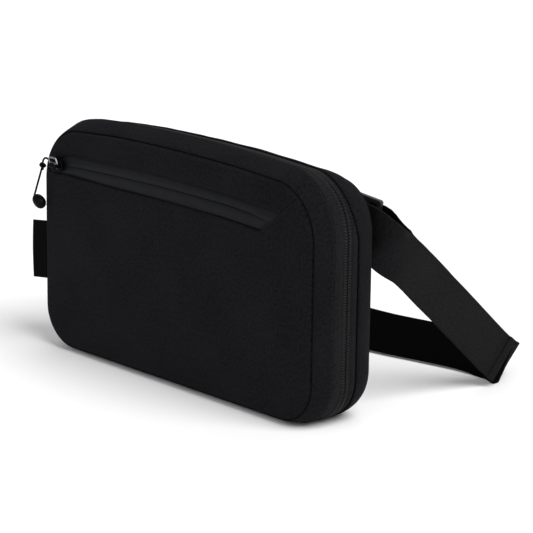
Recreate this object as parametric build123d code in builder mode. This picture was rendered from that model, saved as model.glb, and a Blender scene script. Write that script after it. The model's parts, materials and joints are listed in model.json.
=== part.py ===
from build123d import *
from math import cos, pi, radians, sin
import os

# Sling bag standing on its bottom gusset. Millimetres, +X to the wearer's left,
# +Y from the front panel to the back, +Z up. The origin is the centre of the base.

# Bag outline at the front seam
HALF_WIDTH = 125.0
SEAM_LOW = 3.5
SHOULDER = 140.2
CROWN = 143.7
TOP_RADIUS = 34.7
LOW_RADIUS = 25.0
CROWN_RADIUS = 2200.0
BAND_OUTSET = 5.0
BACK_OUTSET = 2.0

# Depth stations, front to back
FRONT_SEAM = -23.0
TAPE_FRONT = -11.0
COIL_FRONT = -4.0
ZIP_CENTRE = -1.0
COIL_BACK = 2.0
TAPE_BACK = 9.0
BACK_SEAM = 23.0
ZIP_SPLIT = 0.8
HINGE_LEVEL = 30.0

# Cloth and foam
CLOTH = 1.6
PANEL_DEPTH = 4.0
PANEL_SKIN = 2.0
RIM_RADIUS = 3.2
LINING = 0.8
GAP = 0.4

# Front pocket zip, level across the front panel
POCKET_ZIP_Z = 121.3
SLOT_LOW = 115.0
SLOT_HIGH = 130.0
SLOT_LEFT = -115.0
SLOT_RIGHT = 86.0
YOKE_CORNER = (120.0, 136.9)
POCKET_REST_X = -108.5

# Main zip slider, on the left side of the band
MAIN_REST_Z = 40.0

# Strap
WEB_WIDTH = 30.0
WEB_THICK = 1.4
LAYER_STEP = 1.6
FOLD_RADIUS = 5.0

# Pull cord
CORD_D = 1.3

os.makedirs("parts", exist_ok=True)


def save(part, name):
    """Labels one finished piece and writes it under its node name."""
    part.label = name
    export_step(part, f"parts/{name}.step")


def depth(y):
    """The plane across the bag at depth y, with sketch X along +X and sketch Y up."""
    return Plane.XZ.offset(-y)


def outline(outset):
    """Bag outline, grown from the front seam line."""
    half = HALF_WIDTH + outset
    low = SEAM_LOW * (1 - outset / BAND_OUTSET)
    top = TOP_RADIUS + outset
    bottom = LOW_RADIUS + outset
    with BuildSketch(Plane.XY) as shape:
        with BuildLine():
            FilletPolyline(
                (-half, low),
                (half, low),
                (half, SHOULDER + outset),
                (0, CROWN + outset),
                (-half, SHOULDER + outset),
                radius=[bottom, bottom, top, CROWN_RADIUS, top],
                close=True,
            )
        make_face()
    return shape.sketch


def band(stations, thick):
    """A ring of cloth lofted through (depth, outset) stations, thick inwards."""
    with BuildPart() as ring:
        for y, outset in stations:
            with BuildSketch(depth(y)):
                add(outline(outset))
        loft(ruled=True)
        for y, outset in stations:
            with BuildSketch(depth(y)):
                add(outline(outset - thick))
        loft(ruled=True, mode=Mode.SUBTRACT)
    return ring.part


def above(part, level):
    """The stretch of a ring that rises over the sides and the top."""
    with BuildPart() as arch:
        add(part)
        split(bisect_by=Plane.XY.offset(level), keep=Keep.TOP)
    return arch.part


def sheet(front, back, outset):
    """A flat layer with the bag's outline."""
    with BuildPart() as layer:
        with BuildSketch(depth(back)):
            add(outline(outset))
        extrude(amount=back - front)
    return layer.part


def tray(front, back, outset, low, high, right, skin):
    """A shallow open box of cloth inside the outline, open at its front and closed at its back."""
    with BuildPart() as pouch:
        for shrink, end, how in ((0, back, Mode.ADD), (skin, back - skin, Mode.SUBTRACT)):
            width = right + HALF_WIDTH - shrink
            height = high - low - 2 * shrink
            with BuildSketch(depth(end)):
                add(outline(outset - shrink))
                with Locations((right - shrink - width / 2, (low + high) / 2)):
                    Rectangle(width, height, mode=Mode.INTERSECT)
            extrude(amount=end - front, mode=how)
    return pouch.part


# ---------------------------------------------------------------- front panels
def front_panel(corners):
    """The part of the padded front tray inside a polygon of (x, z) corners."""
    with BuildPart() as panel:
        with BuildSketch(depth(FRONT_SEAM)):
            add(outline(0))
        extrude(amount=PANEL_DEPTH)
        fillet(panel.faces().sort_by(Axis.Y)[0].edges(), RIM_RADIUS)
        with BuildSketch(depth(FRONT_SEAM)):
            add(outline(-PANEL_SKIN))
        extrude(amount=PANEL_DEPTH - PANEL_SKIN, mode=Mode.SUBTRACT)
        with BuildSketch(depth(FRONT_SEAM)):
            with BuildLine():
                Polyline(*corners, close=True)
            make_face()
        extrude(amount=PANEL_DEPTH, mode=Mode.INTERSECT)
    return panel.part


REACH = HALF_WIDTH + 5
SEAM_SPLIT = 0.4
slot_left_low = (SLOT_LEFT, POCKET_ZIP_Z - SEAM_SPLIT / 2)
slot_left_high = (SLOT_LEFT, POCKET_ZIP_Z + SEAM_SPLIT / 2)
slot_shoulder = (SLOT_LEFT + 12, SLOT_HIGH)
slot_right = (SLOT_RIGHT + 18, SLOT_HIGH)
yoke_end = (REACH, YOKE_CORNER[1] + 4.5)
save(
    front_panel(
        [
            (-REACH, -10),
            (REACH, -10),
            (yoke_end[0], yoke_end[1] - SEAM_SPLIT),
            (YOKE_CORNER[0], YOKE_CORNER[1] - SEAM_SPLIT),
            (slot_right[0] + 0.3, slot_right[1] - SEAM_SPLIT),
            (SLOT_RIGHT, SLOT_LOW),
            (SLOT_LEFT, SLOT_LOW),
            slot_left_low,
            (-REACH, POCKET_ZIP_Z - SEAM_SPLIT / 2),
        ]
    ),
    "front_main_panel",
)
save(
    front_panel(
        [
            (-REACH, POCKET_ZIP_Z + SEAM_SPLIT / 2),
            slot_left_high,
            slot_shoulder,
            slot_right,
            YOKE_CORNER,
            yoke_end,
            (REACH, 160),
            (-REACH, 160),
        ]
    ),
    "front_yoke_panel",
)

# ---------------------------------------------------------------- pocket zip
TAPE_Y = FRONT_SEAM - PANEL_DEPTH + PANEL_SKIN + 0.2
TAPE_SKIN = 0.8
TAPE_LAP = 3.0
COIL_SKIN = 1.4
COIL_ROW = 2.2
COIL_LEFT = -112.0
COIL_RIGHT = 88.0


def slab(corners, front, thick):
    """A flat piece with (x, z) corners, from a front depth backwards."""
    with BuildPart() as piece:
        with BuildSketch(depth(front + thick)):
            with BuildLine():
                Polyline(*corners, close=True)
            make_face()
        extrude(amount=thick)
    return piece.part


tape_low = POCKET_ZIP_Z - ZIP_SPLIT / 2
tape_high = POCKET_ZIP_Z + ZIP_SPLIT / 2
lower_tape = [
    (SLOT_LEFT - 3, SLOT_LOW - TAPE_LAP),
    (SLOT_RIGHT + 3, SLOT_LOW - TAPE_LAP),
    (SLOT_RIGHT + 10, tape_low),
    (SLOT_LEFT, tape_low),
]
upper_tape = [
    (SLOT_LEFT + 0.5, tape_high),
    (SLOT_RIGHT + 11, tape_high),
    (SLOT_RIGHT + 19, SLOT_HIGH + 1.2),
    (SLOT_RIGHT + 12, SLOT_HIGH + TAPE_LAP),
    (SLOT_LEFT + 14, SLOT_HIGH + TAPE_LAP),
]
save(slab(lower_tape, TAPE_Y, TAPE_SKIN), "pocket_zip_tape_lower")
save(slab(upper_tape, TAPE_Y, TAPE_SKIN), "pocket_zip_tape_upper")

coil_y = TAPE_Y + TAPE_SKIN
for label, start in (("lower", tape_low - COIL_ROW), ("upper", tape_high)):
    end = start + COIL_ROW
    row = [(COIL_LEFT, start), (COIL_RIGHT, start), (COIL_RIGHT, end), (COIL_LEFT, end)]
    save(slab(row, coil_y, COIL_SKIN), f"pocket_zip_coil_{label}")

with BuildPart() as pocket_stop:
    with BuildSketch(depth(coil_y + COIL_SKIN)):
        with Locations((COIL_RIGHT + 2, POCKET_ZIP_Z)):
            RectangleRounded(3, 6, 0.8)
    extrude(amount=COIL_SKIN)
save(pocket_stop.part, "pocket_zip_stop")

# ---------------------------------------------------------------- zip sliders
PLATE_THICK = 1.2
PIN_RADIUS = 0.6
PIN_LIFT = 1.0
PIN_SHIFT = 2.5
BRIDGE_LENGTH = 9.0
BRIDGE_WIDTH = 2.8
BRIDGE_BAR = 1.0
BRIDGE_ROOM = 2.0
PULL_REACH = 8.5
WEDGE = 0.4


def slider(frame, plate_level, block_level, inner_level):
    """A zip slider: outer plate with a bridge, a neck, a wedge between the coils, an inner plate.

    The frame's origin is on the tape's outer face, its X runs along the zip, its Z points out.
    """
    with BuildPart() as body:
        with BuildSketch(frame.offset(plate_level)):
            RectangleRounded(12.4, 9.4, 3)
        extrude(amount=PLATE_THICK)
        with BuildSketch(frame.offset(block_level)):
            Rectangle(6, 4)
        extrude(amount=plate_level - block_level)
        with BuildSketch(frame.offset(inner_level)):
            Rectangle(6, WEDGE)
        extrude(amount=block_level - inner_level)
        with BuildSketch(frame.offset(inner_level - 1)):
            RectangleRounded(9, 7, 2.5)
        extrude(amount=1)
        side = Plane(frame.origin, x_dir=frame.x_dir, z_dir=frame.y_dir * -1)
        top = plate_level + PLATE_THICK
        with BuildSketch(side):
            with Locations((0, top + (BRIDGE_ROOM + BRIDGE_BAR) / 2)):
                Rectangle(BRIDGE_LENGTH, BRIDGE_ROOM + BRIDGE_BAR)
            with Locations((0, top + BRIDGE_ROOM / 2)):
                Rectangle(BRIDGE_LENGTH - 2 * BRIDGE_BAR, BRIDGE_ROOM, mode=Mode.SUBTRACT)
        extrude(amount=BRIDGE_WIDTH / 2, both=True)
    return body.part


def pull_ring(frame, reach):
    """A pull ring: a pin that turns under the bridge, two arms and a rounded far end.

    The frame's origin is the pin's centre, its X points along the ring, its Z is its thickness.
    """
    arm = 1.2
    inner = BRIDGE_WIDTH / 2 + 0.5
    outer = inner + arm
    bend = reach + PIN_RADIUS - outer
    with BuildPart() as pull:
        with BuildSketch(frame.offset(-PIN_RADIUS)):
            with Locations(((bend - PIN_RADIUS) / 2, 0)):
                Rectangle(bend + PIN_RADIUS, 2 * outer)
            with Locations((bend, 0)):
                Circle(outer)
            with Locations(((bend + PIN_RADIUS) / 2, 0)):
                Rectangle(bend - PIN_RADIUS, 2 * inner, mode=Mode.SUBTRACT)
            with Locations((bend, 0)):
                Circle(inner, mode=Mode.SUBTRACT)
        extrude(amount=2 * PIN_RADIUS)
    return pull.part


POCKET_PLATE = PANEL_DEPTH - PANEL_SKIN + 0.4
pocket_frame = Plane(
    origin=(POCKET_REST_X, TAPE_Y, POCKET_ZIP_Z), x_dir=(1, 0, 0), z_dir=(0, -1, 0)
)
save(slider(pocket_frame, POCKET_PLATE, 0.3, -TAPE_SKIN - COIL_SKIN - 0.3), "pocket_slider")

pocket_pin = (
    POCKET_REST_X + PIN_SHIFT,
    TAPE_Y - POCKET_PLATE - PLATE_THICK - PIN_LIFT,
    POCKET_ZIP_Z,
)
pocket_pull_frame = Plane(origin=pocket_pin, x_dir=(-1, 0, 0), z_dir=(0, -1, 0))
save(pull_ring(pocket_pull_frame, PULL_REACH), "pocket_pull_ring")

MAIN_PLATE = 1.2
main_frame = Plane(
    origin=(-HALF_WIDTH - BAND_OUTSET, ZIP_CENTRE, MAIN_REST_Z), x_dir=(0, 0, 1), z_dir=(-1, 0, 0)
)
save(slider(main_frame, MAIN_PLATE, 0.9, -2.1), "main_slider")

main_pin = (
    -HALF_WIDTH - BAND_OUTSET - MAIN_PLATE - PLATE_THICK - PIN_LIFT,
    ZIP_CENTRE,
    MAIN_REST_Z + PIN_SHIFT,
)
main_pull_frame = Plane(origin=main_pin, x_dir=(0, 0, -1), z_dir=(-1, 0, 0))
save(pull_ring(main_pull_frame, PULL_REACH), "main_pull_ring")

# ---------------------------------------------------------------- pull cord
# The cord leaves the pull ring, carries a knot and hangs past the bag's edge to a moulded end.
CORD_Y = pocket_pin[1]
CORD_ROUTE = [
    (-114.7, CORD_Y, 124.1),
    (-118.0, CORD_Y, 125.3),
    (-120.9, CORD_Y - 0.1, 123.0),
    (-121.4, CORD_Y - 0.2, 119.2),
    (-122.6, CORD_Y - 0.6, 115.2),
    (-124.6, CORD_Y - 1.8, 107.4),
    (-126.7, CORD_Y - 3.0, 99.2),
]
END_RADIUS = 4.0
END_LENGTH = 10.0
KNOT_RADIUS = 2.1


def bend_radii(route):
    """The largest arc that each corner's two runs allow."""
    radii = []
    for before, corner, after in zip(route, route[1:], route[2:]):
        arriving = Vector(corner) - Vector(before)
        leaving = Vector(after) - Vector(corner)
        half_turn = radians(arriving.get_angle(leaving)) / 2
        shorter = min(arriving.length, leaving.length)
        radii.append(0.45 * shorter * cos(half_turn) / sin(half_turn))
    return radii


cord_radii = bend_radii(CORD_ROUTE)
with BuildPart() as pull_cord:
    with BuildLine():
        cord_path = FilletPolyline(*CORD_ROUTE, radius=cord_radii)
    with BuildSketch(cord_path ^ 0):
        Circle(CORD_D / 2)
    sweep(path=cord_path)
save(pull_cord.part, "pull_cord")
cord_length = cord_path.length
cord_fill = pull_cord.part.volume / (pi * CORD_D**2 / 4 * cord_length)
print("cord radii", [round(r, 1) for r in cord_radii], "length", round(cord_length, 1))
print("cord volume over section times length", round(cord_fill, 4))

with BuildPart() as pull_knot:
    with Locations(CORD_ROUTE[3]):
        Sphere(KNOT_RADIUS)
save(pull_knot.part, "pull_knot")

cord_tip = CORD_ROUTE[-1]
with BuildPart() as pull_end:
    with BuildSketch(Plane(origin=cord_tip, x_dir=(1, 0, 0), z_dir=(0, -1, 0))):
        with BuildLine():
            Spline(
                (0, 0),
                (END_RADIUS * 0.75, -2.2),
                (END_RADIUS, -END_LENGTH * 0.6),
                (0, -END_LENGTH),
                tangents=[(1, 0), (-1, 0)],
            )
            Line((0, -END_LENGTH), (0, 0))
        make_face()
    revolve(axis=Axis(cord_tip, (0, 0, 1)))
save(pull_end.part, "pull_end")

# ---------------------------------------------------------------- gussets and main zip
front_gusset_rise = [(FRONT_SEAM, 0), (TAPE_FRONT, BAND_OUTSET)]
back_gusset_fall = [(TAPE_BACK, BAND_OUTSET), (BACK_SEAM, BACK_OUTSET)]
save(above(band(front_gusset_rise, CLOTH), HINGE_LEVEL), "front_gusset")
save(above(band(back_gusset_fall, CLOTH), HINGE_LEVEL), "back_gusset")

for label, front, back in (
    ("front", TAPE_FRONT, COIL_FRONT),
    ("back", COIL_BACK, TAPE_BACK),
):
    tape = band([(front, BAND_OUTSET), (back, BAND_OUTSET)], 1.0)
    save(above(tape, HINGE_LEVEL), f"main_zip_tape_{label}")

COIL_PROUD = 0.6
for label, front, back in (
    ("front", COIL_FRONT, ZIP_CENTRE - ZIP_SPLIT / 2),
    ("back", ZIP_CENTRE + ZIP_SPLIT / 2, COIL_BACK),
):
    coil = band([(front, BAND_OUTSET + COIL_PROUD), (back, BAND_OUTSET + COIL_PROUD)], 2.4)
    save(above(coil, HINGE_LEVEL), f"main_zip_coil_{label}")

bottom_start = FRONT_SEAM + GAP
bottom_outset = BAND_OUTSET * GAP / (TAPE_FRONT - FRONT_SEAM)
bottom_profile = [(bottom_start, bottom_outset)] + front_gusset_rise[1:] + back_gusset_fall
with BuildPart() as bottom_gusset:
    add(band(bottom_profile, CLOTH))
    split(bisect_by=Plane.XY.offset(HINGE_LEVEL - GAP), keep=Keep.BOTTOM)
save(bottom_gusset.part, "bottom_gusset")

# ---------------------------------------------------------------- seam bindings
front_binding = band([(-24.8, -2.3), (-21.0, -2.3)], 1.5)
save(front_binding, "front_seam_binding")
back_binding = band([(20.4, -0.2), (22.6, -0.2)], 2.0)
save(back_binding, "back_seam_binding")

# ---------------------------------------------------------------- inner layers
pocket_pouch = tray(-24.9, -18.4, -4.4, 18.0, 160.0, 106.0, LINING)
save(pocket_pouch, "pocket_pouch")
save(sheet(-18.0, -17.2, -4.4), "front_lining")

with BuildPart() as back_panel:
    with BuildSketch(depth(BACK_SEAM + PANEL_DEPTH)):
        add(outline(BACK_OUTSET))
    extrude(amount=PANEL_DEPTH)
    fillet(back_panel.faces().sort_by(Axis.Y)[-1].edges(), 2.5)
save(back_panel.part, "back_panel")

with BuildPart() as back_pad:
    with BuildSketch(depth(BACK_SEAM + PANEL_DEPTH + 3)):
        with Locations((0, 70)):
            RectangleRounded(114, 100, 18)
    extrude(amount=3)
    fillet(back_pad.faces().sort_by(Axis.Y)[-1].edges(), 2)
save(back_pad.part, "back_pad")
save(sheet(20.4, 22.8, -2.6), "back_foam")
save(sheet(19.4, 20.2, -1.2), "back_lining")
slip_front = 13.4
with BuildPart() as slip_pocket:
    with BuildSketch(depth(19.2)):
        with Locations((0, 50)):
            Rectangle(200, 80)
    extrude(amount=19.2 - slip_front)
    with BuildSketch(depth(19.2)):
        with Locations((0, 51)):
            Rectangle(198, 80)
    extrude(amount=19.2 - slip_front - LINING, mode=Mode.SUBTRACT)
save(slip_pocket.part, "slip_pocket")
with BuildPart() as slip_hem:
    with BuildSketch(depth(slip_front - 0.1)):
        with Locations((0, 86)):
            Rectangle(200, 8)
    extrude(amount=1.0)
save(slip_hem.part, "slip_pocket_hem")

# ---------------------------------------------------------------- side label
LABEL_LOW = 44.0
LABEL_HIGH = 82.0
with BuildPart() as side_label:
    with BuildSketch(Plane.XY.offset(LABEL_LOW)):
        with Locations((-HALF_WIDTH - 7.7, FRONT_SEAM - 0.55)):
            SlotOverall(15.2, 0.9)
    extrude(amount=LABEL_HIGH - LABEL_LOW)
save(side_label.part, "side_label")

# ---------------------------------------------------------------- strap hardware
# Each lock is a flat frame beside the back panel, hung from a sewn webbing tab.
LOCK_CENTRE = (96.0, 32.8, 112.5)
LOCK_RUN = Vector(0.94, 0.27, -0.208).normalized()
LOCK_WIDTH = Vector(0.2, 0.0568, 0.978).normalized()
LOCK_OUT = LOCK_RUN.cross(LOCK_WIDTH)
LOCK_THICK = 3.2
BAR = 3.0
BAR_STEP = 8.5
LOCK_INSIDE = WEB_WIDTH + 1.0
WRAP_INNER = 2.3
LEG = 5.0

lock_plane = Plane(origin=LOCK_CENTRE, x_dir=LOCK_RUN, z_dir=LOCK_OUT)


def lock_frame(bars):
    """A flat frame with rounded corners and a number of bars, BAR_STEP apart."""
    length = BAR_STEP * (bars - 1) + BAR
    middle = BAR_STEP * (bars - 1) / 2
    with BuildPart() as lock:
        with BuildSketch(lock_plane.offset(-LOCK_THICK / 2)):
            with Locations((middle, 0)):
                RectangleRounded(length, LOCK_INSIDE + 2 * BAR, 2)
            for slot in range(bars - 1):
                with Locations((BAR_STEP * (slot + 0.5), 0)):
                    Rectangle(BAR_STEP - BAR, LOCK_INSIDE, mode=Mode.SUBTRACT)
        extrude(amount=LOCK_THICK)
        rails = lock.faces().sort_by(Axis(LOCK_CENTRE, LOCK_OUT))
        fillet(rails[-1].edges() + rails[0].edges(), 0.6)
    return lock.part


def wrap(bar, towards, leg):
    """Webbing folded round one bar, with two legs towards +1 or -1 along the run."""
    profile = Plane(
        origin=Vector(LOCK_CENTRE) + LOCK_RUN * (BAR_STEP * bar),
        x_dir=LOCK_RUN * towards,
        z_dir=LOCK_WIDTH,
    )
    outer = WRAP_INNER + WEB_THICK
    with BuildPart() as turn:
        with BuildSketch(profile):
            with Locations((leg / 2, 0)):
                Rectangle(leg, 2 * outer)
            Circle(outer)
            with Locations((leg / 2, 0)):
                Rectangle(leg, 2 * WRAP_INNER, mode=Mode.SUBTRACT)
            Circle(WRAP_INNER, mode=Mode.SUBTRACT)
        extrude(amount=WEB_WIDTH / 2, both=True)
    return turn.part


def mirrored(part):
    """The same piece on the other side of the bag."""
    with BuildPart() as other:
        mirror(part, about=Plane.YZ)
    return other.part


save(lock_frame(3), "ladder_lock")
save(wrap(0, -1, 4.5), "right_tab_loop")
save(wrap(1, 1, LEG), "strap_lock_turn")
save(mirrored(lock_frame(2)), "left_strap_ring")
save(mirrored(wrap(0, -1, 4.5)), "left_tab_loop")
save(mirrored(wrap(1, 1, LEG)), "strap_ring_turn")

with BuildPart() as tab_patch:
    with BuildSketch(depth(BACK_SEAM + PANEL_DEPTH + WEB_THICK)):
        with Locations((75.0, 112.5)):
            Rectangle(28, WEB_WIDTH, rotation=-12)
    extrude(amount=WEB_THICK)
save(tab_patch.part, "right_tab_patch")
save(mirrored(tab_patch.part), "left_tab_patch")

# ---------------------------------------------------------------- strap webbing
RUN_DIR = Vector(-0.02, 0.746, -0.665).normalized()
RUN_WIDTH = Vector(0, 0.665, 0.746).normalized()
RUN_END = Vector(122.3, 138.0, 14.6)
RUN_LENGTH = 118.0
LEG_OFFSET = WRAP_INNER + WEB_THICK / 2


def webbing(stations, layer):
    """Webbing lofted through (centre, direction, width) stations, shifted outwards by layer."""
    with BuildPart() as stretch:
        for centre, run, width in stations:
            with BuildSketch(Plane(origin=centre, x_dir=width, z_dir=run)):
                with Locations((0, layer)):
                    Rectangle(WEB_WIDTH, WEB_THICK)
        loft(ruled=True)
    return stretch.part


def on_run(distance):
    """The station a distance before the end of the sloping run."""
    return (RUN_END - RUN_DIR * distance, RUN_DIR, RUN_WIDTH)


def leaving(offset, reach):
    """Stations from a wrapped bar, where the layer lies offset from the frame, to the run."""
    stations = []
    for along in (BAR_STEP + LEG, reach):
        centre = Vector(LOCK_CENTRE) + LOCK_RUN * along + LOCK_OUT * offset
        stations.append((centre, LOCK_RUN, LOCK_WIDTH))
    bend = (Vector(121.0, 41.4, 103.5), Vector(0.5, 0.5, -0.68), Vector(0.1, 0.4, 0.84))
    return stations + [bend, on_run(RUN_LENGTH)]


PAST_LOCK = 2 * BAR_STEP + 3.0
PAST_RING = BAR_STEP + LEG + 1.5
save(webbing(leaving(-LEG_OFFSET, PAST_LOCK) + [on_run(0)], 0), "strap_right_run")
save(webbing(leaving(LEG_OFFSET - LAYER_STEP, PAST_LOCK) + [on_run(1)], LAYER_STEP), "strap_tail")
save(webbing([on_run(13), on_run(1)], 2 * LAYER_STEP), "strap_tail_hem")

fold = []
for turn in (0, 30, 60, 90):
    angle = radians(turn)
    outward = Vector(1, 0, 0)
    centre = RUN_END + outward * (FOLD_RADIUS * (cos(angle) - 1)) + RUN_DIR * (FOLD_RADIUS * sin(angle))
    fold.append((centre, RUN_DIR * cos(angle) - outward * sin(angle), RUN_WIDTH))
save(webbing(fold, 0), "strap_right_fold")

half_web = WEB_WIDTH / 2
right_half = [
    fold[-1],
    (Vector(92, 145.5, half_web - 0.6), Vector(-1, -0.05, 0), Vector(0, 0.4, 0.91)),
    (Vector(62, 141.0, half_web - 0.4), Vector(-0.98, -0.18, 0), Vector(0, 0.25, 0.97)),
    (Vector(22, 132.8, half_web - 0.4), Vector(-0.99, -0.1, 0), Vector(0, 0.2, 0.98)),
]
left_half = []
for centre, run, width in reversed(right_half):
    left_half.append(
        (
            Vector(-centre.X, centre.Y, centre.Z),
            Vector(run.X, -run.Y, -run.Z),
            Vector(-width.X, width.Y, width.Z),
        )
    )
save(webbing(right_half + left_half, 0), "strap_back_run")
save(mirrored(webbing(fold, 0)), "strap_left_fold")
save(mirrored(webbing(leaving(-LEG_OFFSET, PAST_RING) + [on_run(0)], 0)), "strap_left_run")
sewn = leaving(LEG_OFFSET - LAYER_STEP, PAST_RING) + [on_run(90)]
save(mirrored(webbing(sewn, LAYER_STEP)), "strap_sewn_end")
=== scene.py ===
import json
import math

import bpy
import numpy as np
from mathutils import Matrix, Vector, noise


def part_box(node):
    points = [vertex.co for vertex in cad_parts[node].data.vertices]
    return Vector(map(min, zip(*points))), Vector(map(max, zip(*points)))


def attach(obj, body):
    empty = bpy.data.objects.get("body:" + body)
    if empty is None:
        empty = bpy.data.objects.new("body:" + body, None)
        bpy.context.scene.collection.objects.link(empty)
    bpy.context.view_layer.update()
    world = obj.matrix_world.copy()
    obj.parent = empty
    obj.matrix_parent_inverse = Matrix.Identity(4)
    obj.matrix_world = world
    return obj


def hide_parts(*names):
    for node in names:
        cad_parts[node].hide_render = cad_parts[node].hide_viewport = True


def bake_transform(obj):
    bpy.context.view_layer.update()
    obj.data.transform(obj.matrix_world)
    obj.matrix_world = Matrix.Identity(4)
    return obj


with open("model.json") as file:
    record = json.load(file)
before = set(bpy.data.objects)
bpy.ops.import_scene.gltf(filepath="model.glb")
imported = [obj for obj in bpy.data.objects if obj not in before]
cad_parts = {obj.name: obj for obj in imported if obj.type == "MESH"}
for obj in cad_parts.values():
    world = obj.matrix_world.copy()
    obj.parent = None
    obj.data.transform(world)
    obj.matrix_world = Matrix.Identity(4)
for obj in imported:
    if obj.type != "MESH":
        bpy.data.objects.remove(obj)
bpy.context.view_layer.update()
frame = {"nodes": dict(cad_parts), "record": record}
MM = 0.001
scene = bpy.context.scene

# Bag outline at the front seam, mm, and how its layers sit behind it (as in part.py)
HALF_WIDTH, SEAM_LOW, SHOULDER, CROWN = 125.0, 3.5, 140.2, 143.7
TOP_RADIUS, LOW_RADIUS, CROWN_RADIUS = 31.5, 25.0, 2200.0
LIFT_X = (-125, -110, -90, -55, -20, 30, 60, 90, 125)
LIFT_Z = (1.4, 2.0, 3.3, 4.2, 4.0, 3.4, 2.8, 1.6, 0.4)
FRONT_SEAM, ZIP_CENTRE, BACK_SEAM = -23.0, -1.0, 23.0
PANEL_FACE = -27.0
# Nothing goes below this height, mm; the lower side of each layer moves out by only this share
LOWEST, LOW_SHARE = 0.12, 0.7
# Along the top the layers behind the front fold sink by this much, at these depths
DROOP_Y = (-11.2, -10.4, ZIP_CENTRE, 9.0, BACK_SEAM)
DROOP = (0.0, 1.2, 2.6, 3.6, 3.8)
# The front gusset's own swell along the top, behind the seam
SWELL_Y = (-23.2, -20.6, -15.4, -11.0, BACK_SEAM)
SWELL = (0.0, 1.0, 2.3, 2.3, 1.9)
# The cloth simulation's pressure on the front, and the most that it may swell a panel or a layer, mm
PANEL_PRESSURE, PANEL_SWELL, LAYER_SWELL = 4.0, 0.9, 0.8

# ------------------------------------------------------------------ camera, light, floor
CAMERA_PLACE = (1.0223, -0.8664, 0.3955)
CAMERA_RIGHT = (0.6667, 0.7452, 0.0134)
CAMERA_UP = (-0.1836, 0.1467, 0.9720)
CAMERA_BACK = (0.7224, -0.6504, 0.2346)
LENS, SENSOR = 152.37, 36
FLOOR_RADIUS, FLOOR_SIDES = 4, 64
WORLD_LIGHT = 0.25


def add_camera():
    data = bpy.data.cameras.new("camera")
    data.lens, data.sensor_width = LENS, SENSOR
    data.clip_start, data.clip_end = 0.05, 20
    camera = bpy.data.objects.new("camera", data)
    scene.collection.objects.link(camera)
    axes = Matrix((CAMERA_RIGHT, CAMERA_UP, CAMERA_BACK)).transposed()
    camera.matrix_world = Matrix.Translation(CAMERA_PLACE) @ axes.to_4x4()
    scene.camera = camera


def sun(name, towards, strength, spread):
    """A large soft light from one side, spread over so many degrees."""
    data = bpy.data.lights.new(name, "SUN")
    data.energy, data.angle = strength, math.radians(spread)
    lamp = bpy.data.objects.new(name, data)
    scene.collection.objects.link(lamp)
    lamp.location = Vector(towards) * 2
    lamp.rotation_mode = "QUATERNION"
    lamp.rotation_quaternion = Vector(towards).to_track_quat("Z", "Y")


def add_studio():
    world = bpy.data.worlds.new("studio")
    scene.world = world
    world.use_nodes = True
    background = world.node_tree.nodes["Background"]
    background.inputs["Color"].default_value = (1, 1, 1, 1)
    background.inputs["Strength"].default_value = WORLD_LIGHT
    sun("key", (0.62, 0.02, 0.78), 2.9, 45)
    sun("fill", (0.05, -0.90, 0.42), 1.2, 60)
    sun("rim", (-0.35, 0.62, 0.70), 0.6, 60)
    scene.view_settings.view_transform = "Standard"
    scene.view_settings.look = "None"


def add_floor():
    mesh = bpy.data.meshes.new("floor")
    angles = np.linspace(0, 2 * math.pi, FLOOR_SIDES, endpoint=False)
    ring = [(FLOOR_RADIUS * math.cos(a), FLOOR_RADIUS * math.sin(a), 0) for a in angles]
    mesh.from_pydata(ring, [], [list(range(FLOOR_SIDES))])
    floor = bpy.data.objects.new("floor", mesh)
    scene.collection.objects.link(floor)
    material = bpy.data.materials.new("floor_paper")
    material.use_nodes = True
    shader = material.node_tree.nodes["Principled BSDF"]
    shader.inputs["Base Color"].default_value = (0.93, 0.93, 0.93, 1)
    shader.inputs["Roughness"].default_value = 0.9
    shader.inputs["Specular IOR Level"].default_value = 0.1
    mesh.materials.append(material)


add_camera()
add_studio()
add_floor()


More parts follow.
